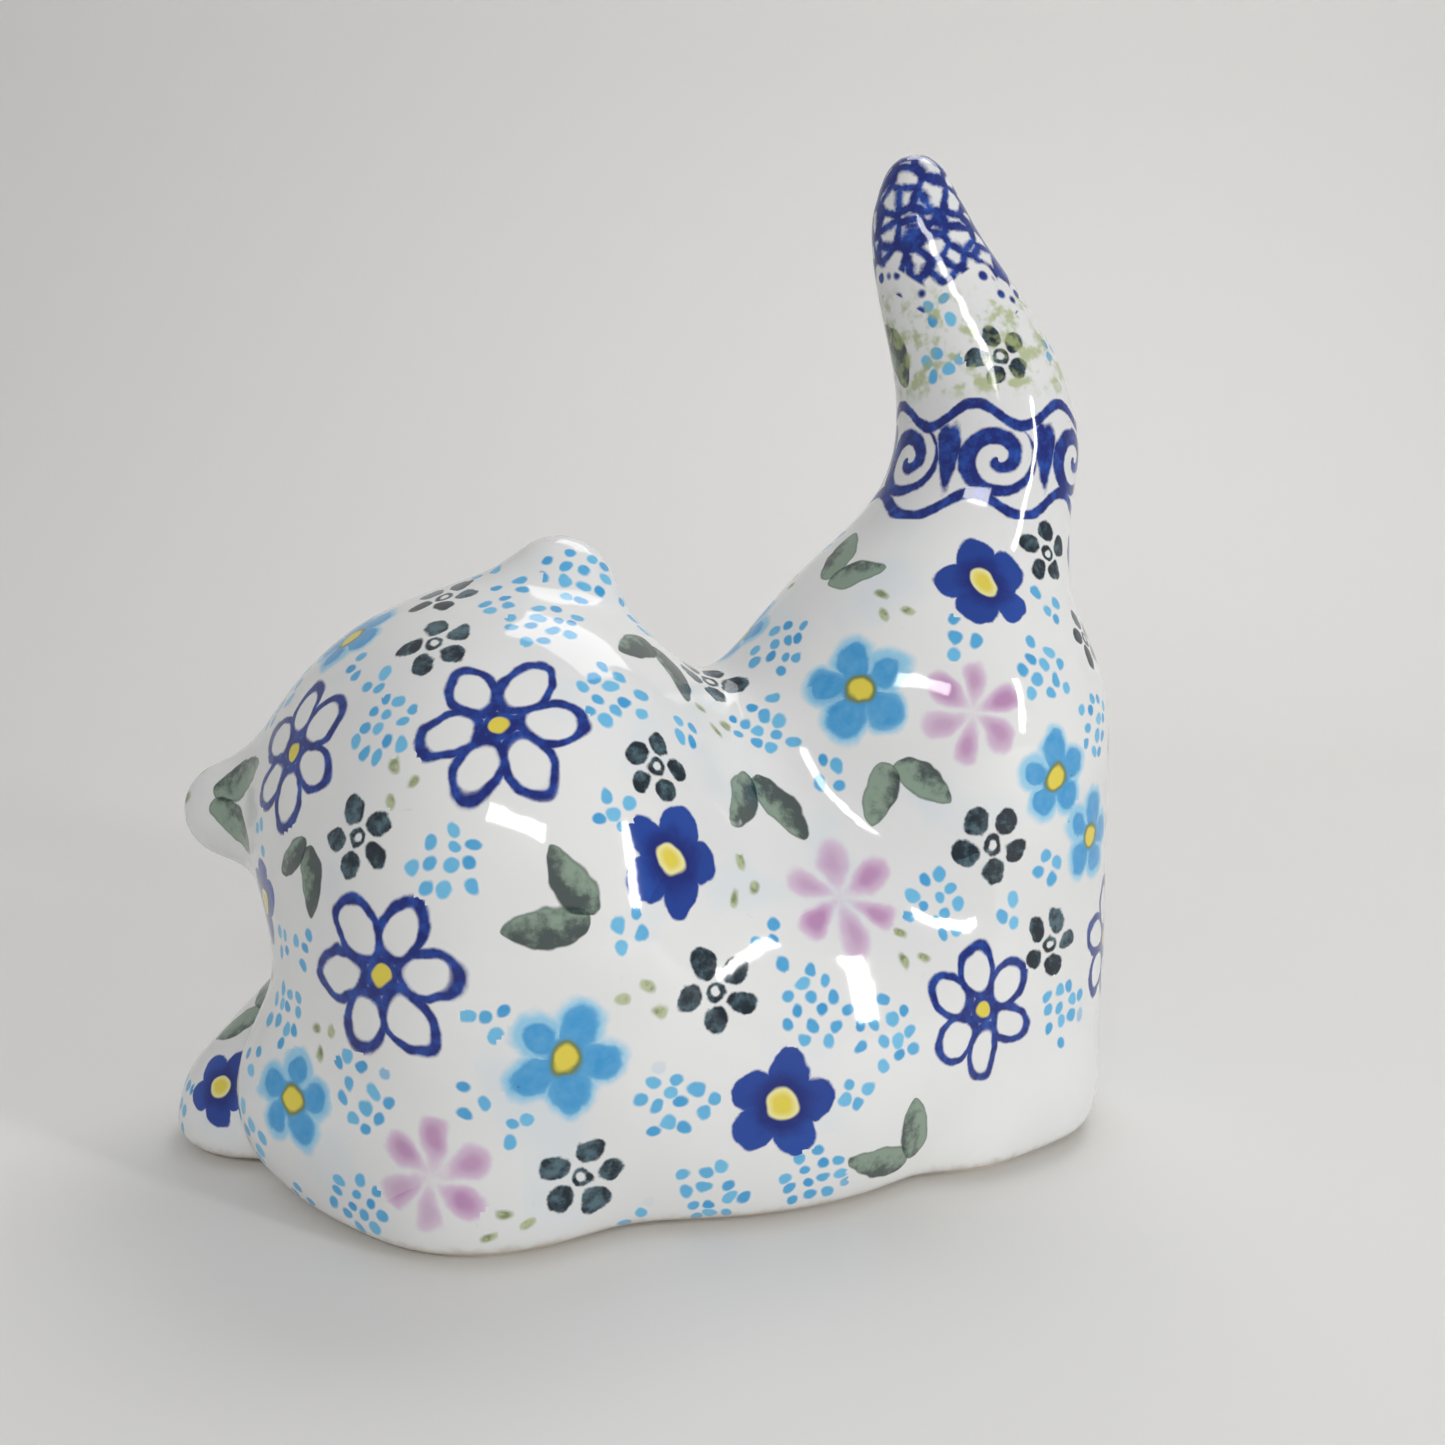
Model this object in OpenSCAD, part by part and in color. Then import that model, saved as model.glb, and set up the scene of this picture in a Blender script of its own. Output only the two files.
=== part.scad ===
// Glazed ceramic kitten stretching with its rump up: a hollow slip-cast figurine,
// built as the cast sections that a potter lutes together. Every outer surface is one
// skin, the zero level of clay(), so neighbouring sections meet face to face.
// X runs from the forepaws to the tail, Y from the back of the head to the face, Z up.
// The origin is the middle of the footprint on the table.

/* [Casting] */
// Thickness of the cast wall
wall = 4; // [3:0.5:5]
// Radius of the rounded skirt where the glaze ends
skirt_r = 1.5; // [1:0.5:3]
// Height of the bare clay pad under the glazed skirt
pad_h = 0.8; // [0.5:0.1:2]
// How far the pad stays inside the skirt
pad_inset = 2; // [1.5:0.5:4]
// Bore of the vent through the floor
vent_d = 5; // [3:0.5:7]

/* [Body] */
// Length of the body from the middle of the chest to the hips
body_l = 41.5; // [39:0.5:44]

/* [Chest] */
// Length of the rounded chest along the body
chest_l = 50; // [46:1:56]
// Width of the chest across the body
chest_w = 52; // [46:1:56]
// Height of the top of the chest
chest_top = 57; // [50:1:60]
// Radius of the near foreleg at the elbow
near_elbow_r = 15.5; // [13:0.5:18]
// Radius of the near foreleg at the paw
near_paw_r = 11.5; // [9:0.5:13]
// Radius of the far foreleg at the elbow
far_elbow_r = 13; // [11:0.5:15]
// Radius of the far foreleg at the paw
far_paw_r = 10.5; // [8:0.5:11.5]
// Reach of the near paw in front of the middle of the chest
near_paw_reach = 17; // [14:0.5:18]
// Reach of the far paw in front of the middle of the chest
far_paw_reach = 28.5; // [26:0.5:31]

/* [Head] */
// Width of the head from cheek to cheek
head_w = 43.5; // [38:0.5:47]
// Depth of the skull from nape to brow
head_d = 40; // [36:1:44]
// Height of the skull along its own tilted axis
head_h = 38.5; // [33:0.5:40]
// Height of the middle of the head above the table
head_z = 37.5; // [35:0.5:41]
// Tilt of the head towards the forepaws
head_tilt = 34; // [26:1:40]
// Reach of an ear tip from the middle of the head
ear_reach = 29; // [26:0.5:33]
// Angle of each ear above the line from cheek to cheek
ear_splay = 28; // [22:1:40]
// Radius of an ear where it leaves the skull
ear_root_r = 7; // [6:0.5:9]
// Radius of the rounded ear tip
ear_tip_r = 5; // [3:0.5:5.5]
// Radius of each whisker pad
whisker_pad_r = 4.8; // [3.5:0.1:5.5]
// Radius of the nose
nose_r = 2.2; // [1.6:0.1:3]

/* [Haunches] */
// Radius of the hips at the table
hip_r = 21; // [18:0.5:23]
// Radius of the rump under the tail
rump_r = 19.5; // [16:0.5:20]
// Height of the middle of the rump
rump_z = 42; // [38:0.5:48]
// Radius of the spine where it leaves the shoulders
spine_r = 14.5; // [13:0.5:18]
// Half length of each thigh
thigh_l = 23; // [20:0.5:26]
// Half width of each thigh
thigh_w = 15.5; // [12:0.5:17]
// Height of the top of each thigh
thigh_top = 31.5; // [26:0.5:36]
// Radius of each hind foot
foot_r = 12.5; // [9:0.5:13]

/* [Tail] */
// Length of the tail above the rump
tail_l = 28.5; // [22:0.5:36]
// Radius of the tail at its root
tail_root_r = 8.8; // [8:0.1:11]
// Radius of the rounded tail tip
tail_tip_r = 3.4; // [2.5:0.1:4.5]
// How far the tip leans back over the body
tail_lean = 8.5; // [0:0.5:12]

/* [Smoothness] */
// Points round each section
sides = 60; // [32:4:64]
// Points round each ear, paw, foot and the muzzle
small_sides = 32; // [20:4:36]

/* [Hidden] */
glaze = [0.94, 0.94, 0.92];
bare_clay = [0.80, 0.76, 0.70];
side_axis = [0, 1, 0];
// Trimming blocks are larger than the figure
block = 200;
// A trimmed neck stands this far past its joint before the block cuts it flush
stub = 1.5;

// ---- smooth solids: each function gives the distance of p outside a rounded mass ----

// k is how near each other two surfaces come before they melt together
function melt(a, b, k) = pow(max(k - abs(a - b), 0) / k, 3) * k / 6;
function blend(a, b, k) = min(a, b) - melt(a, b, k);
function cut_round(a, b, k) = max(a, b) + melt(a, b, k);

// Egg: centre c, half sizes r, turned by the unit axes ax
function turned(about_z) = [[cos(about_z), sin(about_z), 0], [-sin(about_z), cos(about_z), 0], [0, 0, 1]];
function off_egg(q, r) =
    let (s = [q.x / r.x, q.y / r.y, q.z / r.z], g = [s.x / r.x, s.y / r.y, s.z / r.z], k = norm(s))
    k * (k - 1) / max(norm(g), 0.001);

// Limb: two balls and the cone that wraps them
function limb(a, b, ra, rb) =
    let (l = norm(b - a), s = (ra - rb) / l)
    [a, (b - a) / l, l, s, sqrt(1 - s * s), ra, rb];
function off_limb(p, m) =
    let (q = p - m[0], h = q * m[1], w = norm(q - m[1] * h), t = h * m[4] - w * m[3])
    t < 0 ? norm(q) - m[5]
    : t > m[2] * m[4] ? norm([h - m[2], w]) - m[6]
    : h * m[3] + w * m[4] - m[5];

// ---- where each mass sits ----

// The body's own middle lies behind the origin, because the forepaws reach out in front
body_mid_x = 8.75;
chest_at = [body_mid_x - body_l / 2, -5.5, 24.5];
rear_x = chest_at.x + body_l;
chest_half = [chest_l / 2, chest_w / 2, chest_top - chest_at.z];
head_at = [chest_at.x - 8.5, 1.5, head_z];
skull_half = [head_w / 2, head_d / 2, head_h / 2];
// The head's own axes: to the near ear, to the face, to the crown
head_axes = [[cos(head_tilt), 0, sin(head_tilt)], side_axis, [-sin(head_tilt), 0, cos(head_tilt)]];
function on_head(v) = head_at + v * head_axes;
function in_head(p) = head_axes * (p - head_at);

belly_at = [rear_x - 19, 2, 14.5];
belly_half = [26, 22.5, 20.5];
rump_at = [rear_x + 5, 11.5, 63];
rump_top_r = tail_root_r + 0.7;
spine = limb([rear_x - 18, 6.5, 29.5], rump_at, spine_r, rump_top_r);
hips = limb([rear_x, 9.5, 16], [rear_x + 1, 9.5, rump_z], hip_r, rump_r);
thigh_z = 10.5;
thigh_half = [thigh_l, thigh_w, thigh_top - thigh_z];
near_thigh_at = [rear_x - 21.5, -9, thigh_z];
far_thigh_at = [rear_x - 18, 15.5, thigh_z];
near_thigh_axes = turned(10);
far_thigh_axes = turned(-15);
near_foot = limb([rear_x + 6.5, 1.5, 5.5], [rear_x + 0.5, -2.5, 2], foot_r, foot_r - 0.5);
far_foot = limb([rear_x + 2.5, 17.5, 5], [rear_x - 4, 19.5, 2], foot_r, foot_r - 0.5);
// The forelegs lie this far in from the near side of the chest, at the elbow and at the paw
near_elbow_in = 16.5;
near_paw_in = 19;
far_elbow_in = 36.5;
far_paw_in = 30;
function foreleg_at(reach, in, z) = [chest_at.x - reach, chest_at.y - chest_half.y + in, z];
near_leg = limb(foreleg_at(3.5, near_elbow_in, 4.5), foreleg_at(near_paw_reach, near_paw_in, 10),
                near_elbow_r, near_paw_r);
far_leg = limb(foreleg_at(16.5, far_elbow_in, 11), foreleg_at(far_paw_reach, far_paw_in, 2),
               far_elbow_r, far_paw_r);

// Tail: straight at its root, then sweeping back towards the head
tail_at = [rear_x + 7, 12, 71.5];
tail_steps = 8;
tail_shares = [for (i = [0:tail_steps]) i / tail_steps];
function tail_mid(s) = tail_at + [-tail_lean * pow(sin(90 * pow(s, 1.1)), 2), 0, tail_l * s];
function tail_r(s) = tail_tip_r + (tail_root_r - tail_tip_r) * cos(90 * pow(s, 0.7));
tail_limbs = [for (i = [1:tail_steps])
    limb(tail_mid(tail_shares[i - 1]), tail_mid(tail_shares[i]),
         tail_r(tail_shares[i - 1]), tail_r(tail_shares[i]))];
tail_root = limb(rump_at, tail_at, rump_top_r, tail_root_r);

// Ears: flattened cones that stand out from the skull
ear_flat = 1.25;
ear_root_reach = 12;
function ear_dir(s) = [s * cos(ear_splay), 0, sin(ear_splay)];
function ear_limb(s) = limb(ear_dir(s) * ear_root_reach, ear_dir(s) * (ear_reach - ear_tip_r),
                            ear_root_r, ear_tip_r);
ears = [ear_limb(1), ear_limb(-1)];
ear_back = 1.5;

// Face: brow, cheeks, whisker pads, chin and nose in the head's own axes
face_half = [head_w / 2 - 3, 15, head_h / 2 - 3];
face_at = [0, skull_half.y - 12, -1.5];
cheek_half = [9.5, 9.5, 8.5];
cheek_at = [8.5, face_at.y + 4, -5.5];
pad_half = [whisker_pad_r, whisker_pad_r - 0.2, whisker_pad_r - 0.8];
muzzle_y = face_at.y + 14.5;
pad_at = [whisker_pad_r - 1.2, muzzle_y, -5];
chin_half = [4, 4, 3.2];
chin_at = [0, muzzle_y - 1.5, -9];
nose_half = [nose_r, nose_r - 0.4, nose_r - 0.6];
nose_at = [0, muzzle_y + 3.6, -2.2];

function mirror_x(v) = [-v.x, v.y, v.z];

function off_tail(p, i = 0) =
    i == tail_steps - 1 ? off_limb(p, tail_limbs[i])
    : blend(off_limb(p, tail_limbs[i]), off_tail(p, i + 1), 4);

function off_head(p) =
    let (h = in_head(p), e = [h.x, (h.y + ear_back) * ear_flat, h.z], m = [abs(h.x), h.y, h.z],
         skull = blend(off_egg(h, skull_half), off_egg(h - face_at, face_half), 9),
         cheeks = blend(skull, off_egg(m - cheek_at, cheek_half), 9),
         near = blend(cheeks, off_limb(e, ears[0]), 9),
         both = blend(near, off_limb(e, ears[1]), 9),
         pads = blend(both, off_egg(m - pad_at, pad_half), 4),
         chin = blend(pads, off_egg(h - chin_at, chin_half), 4))
    blend(chin, off_egg(h - nose_at, nose_half), 2);

// The whole kitten without its base: below zero inside, zero on the glazed skin
function kitten(p) =
    let (a = blend(off_egg(p - chest_at, chest_half), off_head(p), 12),
         b = blend(a, off_limb(p, spine), 15),
         c = blend(b, off_egg(p - belly_at, belly_half), 15),
         d = blend(c, off_limb(p, hips), 15),
         e = blend(d, off_egg(near_thigh_axes * (p - near_thigh_at), thigh_half), 12),
         f = blend(e, off_egg(far_thigh_axes * (p - far_thigh_at), thigh_half), 12),
         g = blend(f, blend(off_limb(p, tail_root), off_tail(p), 6), 6),
         h = blend(g, off_limb(p, near_foot), 5),
         i = blend(h, off_limb(p, far_foot), 5),
         j = blend(i, off_limb(p, near_leg), 8))
    blend(j, off_limb(p, far_leg), 6);

// The kitten cut flat on top of its pad, with a rounded skirt
function clay(p) = cut_round(kitten(p), pad_h - p.z, 1.5 * skirt_r);

// ---- joint planes between the sections: a point on the plane and its unit normal ----

function unit(v) = v / norm(v);
function beyond(p, joint) = (p - joint[0]) * joint[1];
function head_turn(v) = v * head_axes;

// Sections of the body fan out from a hinge line just above the saddle of the back
hinge = [rear_x - 23, 0, 53];
// The joint of the neck comes out under the throat, above the forepaws
throat_at = [chest_at.x - 24, 21];
shoulder_angle = -90;
neck_angle = atan2(hinge.z - throat_at.y, hinge.x - throat_at.x) - 180;
dock_angle = 12;
shoulder_reach = 27;
neck_reach = 30;
chest_mid_y = 1.5;
dock_mid_y = 11.5;
dock_reach = 29;
function fan_dir(a) = [cos(a), 0, sin(a)];
function fan_up(a) = [-sin(a), 0, cos(a)];
function fan_mid(a, reach, y) = [hinge.x, y, hinge.z] + fan_dir(a) * reach;
neck_at = fan_mid(neck_angle, neck_reach, chest_mid_y);
crown = -fan_up(neck_angle);

// Each ear is luted on across its root, where the skull's own outline ends
ear_joint_angle = ear_splay + 22;
ear_seat = norm([skull_half.x * cos(ear_joint_angle), skull_half.z * sin(ear_joint_angle)]);
function ear_joint(s) =
    [on_head(ear_dir(s) * ear_seat / cos(ear_joint_angle - ear_splay) - [0, ear_back, 0]),
     head_turn([s * cos(ear_joint_angle), 0, sin(ear_joint_angle)])];
near_ear_joint = ear_joint(1);
far_ear_joint = ear_joint(-1);
muzzle_joint = [on_head([0, face_at.y + face_half.y + 0.3, pad_at.z]), side_axis];
// The muzzle hangs over the chest down to here
muzzle_low_z = on_head([0, 0, chin_at.z - 2 * chin_half.z]).z;

// The forepaws share one slanting joint and part along a line between the toes
forepaw_joint = [foreleg_at(far_paw_reach - 4.5, near_paw_in + 7, 8), unit([-16, 0, -13])];
toe_line_y = foreleg_at(0, near_paw_in + 5.5, 0).y;
near_foot_joint = [[rear_x + 5.5, -6.5, 5.5], unit([0.51, -0.68, -0.53])];
near_foot_left = rear_x - 3.5;
far_foot_joint = [[rear_x - 3, 26, 5.5], unit([0.1, 0.84, -0.53])];
far_foot_left = rear_x - 13.5;

// ---- finding the skin ----

// Walks from o along d until the distance f passes level, then closes in on the crossing
function reach(f, o, d, level) = let (g = f(o) - level) walk(f, o, d, level, 0, g);
function walk(f, o, d, level, t, g) =
    let (far_t = t + max(-g, 0.4), far_g = f(o + d * far_t) - level)
    far_g >= 0 ? settle(f, o, d, level, t, far_t, g, far_g, 3)
    : walk(f, o, d, level, far_t, far_g);
function settle(f, o, d, level, t0, t1, g0, g1, turns) =
    let (t = t0 - g0 * (t1 - t0) / (g1 - g0))
    turns == 0 ? t
    : let (g = f(o + d * t) - level)
      g < 0 ? settle(f, o, d, level, t, t1, g, g1, turns - 1)
      : settle(f, o, d, level, t0, t, g0, g, turns - 1);

// A point of the skin, set exactly on the flat base when it lies there
function on_skin(f, o, d, level) =
    let (p = o + d * reach(f, o, d, level), floor_z = pad_h - level)
    [p.x, p.y, abs(p.z - floor_z) < 0.05 ? floor_z : p.z];

// One closed ring of the skin round o, in the plane of u and v
function ring(f, o, u, v, level, count) =
    [for (i = [0:count - 1]) on_skin(f, o, u * cos(360 * i / count) + v * sin(360 * i / count), level)];

// Rings of a cap that stands on o and closes over it in direction n, from its rim upwards
function cap_rings(f, o, n, level, count, steps, first = 0) =
    let (u = cross(side_axis, n), flat_u = norm(u) > 0.1 ? unit(u) : [1, 0, 0], v = cross(n, flat_u))
    [for (k = [first:steps - 1]) let (rise = 90 * k / steps)
        [for (i = [0:count - 1]) let (a = 360 * i / count)
            on_skin(f, o, (flat_u * cos(a) + v * sin(a)) * cos(rise) + n * sin(rise), level)]];

// ---- meshes from rings ----

function flat_list(rings) = [for (r = rings) for (p = r) p];
function bands(first, rings, count, inside) =
    [for (k = [0:rings - 2], i = [0:count - 1])
        let (a = first + k * count + i, b = first + k * count + (i + 1) % count)
        each inside ? [[a, b + count, a + count], [a, b, b + count]]
                    : [[a, a + count, b + count], [a, b + count, b]]];
function tip_fan(first, pole, count, inside) =
    [for (i = [0:count - 1]) let (a = first + i, b = first + (i + 1) % count)
        inside ? [a, b, pole] : [a, pole, b]];
function rim(outer, inner, count, at_end) =
    [for (i = [0:count - 1]) let (j = (i + 1) % count)
        at_end ? [outer + i, inner + i, inner + j, outer + j]
               : [outer + i, outer + j, inner + j, inner + i]];

// A hollow length, open at both ends
module sleeve(outer, inner) {
    count = len(outer[0]);
    last = len(outer) - 1;
    inner_first = len(outer) * count;
    polyhedron(concat(flat_list(outer), flat_list(inner)),
               concat(bands(0, len(outer), count, false), bands(inner_first, len(inner), count, true),
                      rim(0, inner_first, count, false),
                      rim(last * count, inner_first + (len(inner) - 1) * count, count, true)),
               convexity = 6);
}

// A hollow end, open at its rim and closed at its two poles
module thimble(outer, outer_pole, inner, inner_pole) {
    count = len(outer[0]);
    inner_first = len(outer) * count;
    poles = inner_first + len(inner) * count;
    polyhedron(concat(flat_list(outer), flat_list(inner), [outer_pole, inner_pole]),
               concat(bands(0, len(outer), count, false), bands(inner_first, len(inner), count, true),
                      rim(0, inner_first, count, false),
                      tip_fan(inner_first - count, poles, count, false),
                      tip_fan(poles - count, poles + 1, count, true)),
               convexity = 6);
}

// A solid cap on a flat rim
module solid_cap(f, o, n, count, steps) {
    rings = cap_rings(f, o, n, 0, count, steps);
    polyhedron(concat(flat_list(rings), [on_skin(f, o, n, 0)]),
               concat([[for (i = [0:count - 1]) i]], bands(0, steps, count, false),
                      tip_fan((steps - 1) * count, steps * count, count, false)),
               convexity = 4);
}

// Everything on the far side of a joint plane
module past(joint) {
    n = joint[1];
    translate(joint[0])
    rotate([0, acos(n.z), atan2(n.y, n.x)])
    translate([-block / 2, -block / 2, 0])
    cube(block);
}

// ---- sections ----

chest_steps = 12;
chest_stations = [for (k = [0:chest_steps])
    let (s = k / chest_steps, a = neck_angle + (shoulder_angle - neck_angle) * s)
    [fan_mid(a, neck_reach + (shoulder_reach - neck_reach) * s, chest_mid_y), fan_dir(a)]];
rump_steps = 16;
rump_stations = [for (k = [0:rump_steps])
    let (s = k / rump_steps, a = shoulder_angle + (dock_angle - shoulder_angle) * s)
    [fan_mid(a, shoulder_reach + (dock_reach - shoulder_reach) * s + 5 * sin(180 * s),
             chest_mid_y + (dock_mid_y - chest_mid_y) * s), fan_dir(a)]];
dock_station = rump_stations[rump_steps];
function section_rings(f, stations, level) =
    [for (t = stations) ring(f, t[0], t[1], side_axis, level, sides)];

vent_at = [chest_at.x + 6, 0];
module vent(height) translate([vent_at.x, vent_at.y, -1]) cylinder(h = height + 1, d = vent_d, $fn = 32);

module base_pad() {
    o = [0, 0, pad_h];
    outline = [for (i = [0:sides * 2 - 1]) let (d = [cos(180 * i / sides), sin(180 * i / sides), 0])
        o + d * reach(function (p) kitten(p), o, d, -pad_inset)];
    color(bare_clay) difference() {
        linear_extrude(pad_h) polygon([for (p = outline) [p.x, p.y]]);
        vent(pad_h + 1);
    }
}

module chest() {
    trims = function (p) max(beyond(p, forepaw_joint), min(beyond(p, muzzle_joint), p.z - muzzle_low_z));
    skin = function (p) max(clay(p), trims(p) - stub);
    hollow = function (p) max(clay(p), trims(p));
    color(glaze) resize([0, 0, 0]) difference() {
        sleeve(section_rings(skin, chest_stations, 0), section_rings(hollow, chest_stations, -wall));
        past(forepaw_joint);
        intersection() {
            past(muzzle_joint);
            translate([-block / 2, -block / 2, muzzle_low_z]) cube(block);
        }
        vent(pad_h + wall + 1);
    }
}

module haunches() {
    feet = function (p) max(min(beyond(p, near_foot_joint), p.x - near_foot_left),
                            min(beyond(p, far_foot_joint), p.x - far_foot_left));
    skin = function (p) max(clay(p), feet(p) - stub);
    hollow = function (p) max(clay(p), feet(p));
    color(glaze) resize([0, 0, 0]) difference() {
        sleeve(section_rings(skin, rump_stations, 0), section_rings(hollow, rump_stations, -wall));
        foot_notch(near_foot_joint, near_foot_left);
        foot_notch(far_foot_joint, far_foot_left);
    }
}

module tail() {
    skin = function (p) clay(p);
    up = fan_up(dock_angle);
    stations = concat([dock_station], [for (s = tail_shares) [tail_mid(s), fan_dir(dock_angle)]]);
    hollow_stations = concat([dock_station],
        [for (s = tail_shares) if (tail_r(s) > wall + 1.5) [tail_mid(s), fan_dir(dock_angle)]]);
    tip_at = tail_mid(1);
    hollow_tip_at = hollow_stations[len(hollow_stations) - 1][0];
    color(glaze) thimble(
        concat(section_rings(skin, stations, 0), cap_rings(skin, tip_at, up, 0, sides, 3, 1)),
        on_skin(skin, tip_at, up, 0),
        section_rings(skin, hollow_stations, -wall), on_skin(skin, hollow_tip_at, up, -wall));
}

module head() {
    trims = function (p) max(beyond(p, near_ear_joint), beyond(p, far_ear_joint), beyond(p, muzzle_joint));
    skin = function (p) max(clay(p), trims(p) - stub);
    hollow = function (p) max(clay(p), trims(p));
    color(glaze) resize([0, 0, 0]) difference() {
        thimble(cap_rings(skin, neck_at, crown, 0, sides, 14), on_skin(skin, neck_at, crown, 0),
                cap_rings(hollow, neck_at, crown, -wall, sides, 10), on_skin(hollow, neck_at, crown, -wall));
        past(near_ear_joint);
        past(far_ear_joint);
        past(muzzle_joint);
    }
}

module small_cap(joint) solid_cap(function (p) clay(p), joint[0], joint[1], small_sides, 8);
module near_ear() color(glaze) small_cap(near_ear_joint);
module far_ear() color(glaze) small_cap(far_ear_joint);
module muzzle() color(glaze) small_cap(muzzle_joint);

// A hind foot fills a notch in the haunch: past its slanting joint, and from heel to toe only
module foot_notch(joint, left) intersection() {
    past(joint);
    translate([left, -block / 2, -block / 2]) cube(block);
}
module hind_foot(joint, left) resize([0, 0, 0]) intersection() {
    small_cap(joint);
    translate([left, -block / 2, -block / 2]) cube(block);
}
module near_hind_foot() color(glaze) hind_foot(near_foot_joint, near_foot_left);
module far_hind_foot() color(glaze) hind_foot(far_foot_joint, far_foot_left);

module forepaws() solid_cap(function (p) clay(p), forepaw_joint[0], forepaw_joint[1], sides, 10);
module near_forepaw() color(glaze) resize([0, 0, 0]) difference() {
    forepaws();
    translate([-block / 2, toe_line_y, -block / 2]) cube(block);
}
module far_forepaw() color(glaze) resize([0, 0, 0]) intersection() {
    forepaws();
    translate([-block / 2, toe_line_y, -block / 2]) cube(block);
}

base_pad();
chest();
haunches();
tail();
head();
near_ear();
far_ear();
muzzle();
near_forepaw();
far_forepaw();
near_hind_foot();
far_hind_foot();
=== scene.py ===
import math

import bmesh
import bpy
import numpy as np
from mathutils import Matrix, Quaternion, Vector
from mathutils.bvhtree import BVHTree


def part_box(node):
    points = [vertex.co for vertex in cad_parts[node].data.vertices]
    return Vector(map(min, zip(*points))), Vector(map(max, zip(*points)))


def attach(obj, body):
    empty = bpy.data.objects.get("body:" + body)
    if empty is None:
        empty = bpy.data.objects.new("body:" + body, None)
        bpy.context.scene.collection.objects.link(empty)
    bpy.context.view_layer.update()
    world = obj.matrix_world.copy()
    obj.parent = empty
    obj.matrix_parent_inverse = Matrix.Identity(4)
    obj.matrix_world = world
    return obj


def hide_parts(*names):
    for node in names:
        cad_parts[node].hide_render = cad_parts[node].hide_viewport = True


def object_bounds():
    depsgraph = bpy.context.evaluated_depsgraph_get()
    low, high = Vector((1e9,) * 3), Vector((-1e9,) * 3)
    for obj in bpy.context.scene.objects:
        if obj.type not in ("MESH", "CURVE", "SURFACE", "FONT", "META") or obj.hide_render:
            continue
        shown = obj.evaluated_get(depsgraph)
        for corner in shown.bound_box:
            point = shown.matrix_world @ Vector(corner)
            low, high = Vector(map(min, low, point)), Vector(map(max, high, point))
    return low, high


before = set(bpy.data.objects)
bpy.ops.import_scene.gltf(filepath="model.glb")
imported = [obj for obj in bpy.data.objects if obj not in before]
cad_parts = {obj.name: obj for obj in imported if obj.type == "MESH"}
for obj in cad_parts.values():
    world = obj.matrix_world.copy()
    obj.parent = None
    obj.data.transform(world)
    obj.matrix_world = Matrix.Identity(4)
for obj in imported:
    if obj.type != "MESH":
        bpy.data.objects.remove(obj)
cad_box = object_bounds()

# ---- The clay kitten ------------------------------------------------------------------
# The figure is one hollow casting in pale stoneware, taken from a two-part plaster mould
# and sponged smooth. Its skin is a row of eggs and tapered limbs that melt into each other,
# meshed from their common surface by a geometry-node tree that works in millimetres.

METRES = 0.001


class Wire:
    """One socket of a node tree. Arithmetic on it adds the node that does the sum."""

    def __init__(self, tree, socket):
        self.tree = tree
        self.socket = socket

    def math(self, operation, *others, out=0):
        vector = any(isinstance(v, (tuple, Vector))
                     or isinstance(v, Wire) and v.socket.type == "VECTOR" for v in (self, *others))
        node = self.tree.nodes.new("ShaderNodeVectorMath" if vector else "ShaderNodeMath")
        node.operation = operation
        for port, value in zip(node.inputs, (self, *others)):
            connect(self.tree, value, port)
        return Wire(self.tree, node.outputs[out])

    def __add__(self, other):
        return self.math("ADD", other)

    def __sub__(self, other):
        return self.math("SUBTRACT", other)

    def __mul__(self, other):
        return self.math("MULTIPLY", other)

    def __truediv__(self, other):
        return self.math("DIVIDE", other)

    def length(self):
        return self.math("LENGTH", out="Value")

    def dot(self, other):
        return self.math("DOT_PRODUCT", other, out="Value")


def connect(tree, value, port):
    """Joins a wire to a node's port, or types a plain number or vector into it."""
    if isinstance(value, Wire):
        tree.links.new(value.socket, port)
    elif isinstance(value, (int, float)) and port.type == "VECTOR":
        port.default_value = (value, value, value)
    else:
        port.default_value = value


def egg(p, at, half, turn=0):
    """Distance outside an egg with these half sizes, turned about Z by so many degrees."""
    q = p - at
    if turn:
        c, s = math.cos(math.radians(turn)), math.sin(math.radians(turn))
        q = along_axes(q, (c, s, 0), (-s, c, 0), (0, 0, 1))
    s = q / half
    k = s.length()
    return k * (k - 1) / (s / half).length()


def along_axes(q, x_axis, y_axis, z_axis):
    """The vector q measured along three other axes."""
    node = q.tree.nodes.new("ShaderNodeCombineXYZ")
    for port, axis in zip(node.inputs, (x_axis, y_axis, z_axis)):
        connect(q.tree, q.dot(axis), port)
    return Wire(q.tree, node.outputs[0])


def limb(p, a, b, a_radius, b_radius):
    """Distance outside a limb: two balls and the cone that wraps them."""
    a, b = Vector(a), Vector(b)
    run = (b - a).length
    way = (b - a) / run
    slope = (a_radius - b_radius) / run
    q = p - a
    h = q.dot(way)
    w = (q - way_scaled(h, way)).length()
    foot = (h - w * (slope / math.sqrt(1 - slope * slope))).math("MAXIMUM", 0).math("MINIMUM", run)
    return (q - way_scaled(foot, way)).length() + foot * slope - a_radius


def way_scaled(h, way):
    """The unit vector way, made h long."""
    node = h.tree.nodes.new("ShaderNodeVectorMath")
    node.operation = "SCALE"
    node.inputs[0].default_value = way
    connect(h.tree, h, node.inputs["Scale"])
    return Wire(h.tree, node.outputs[0])


def melt(a, b, reach):
    """Two masses melted together where their surfaces come within reach of each other."""
    return a.math("SMOOTH_MIN", b, reach)


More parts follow.
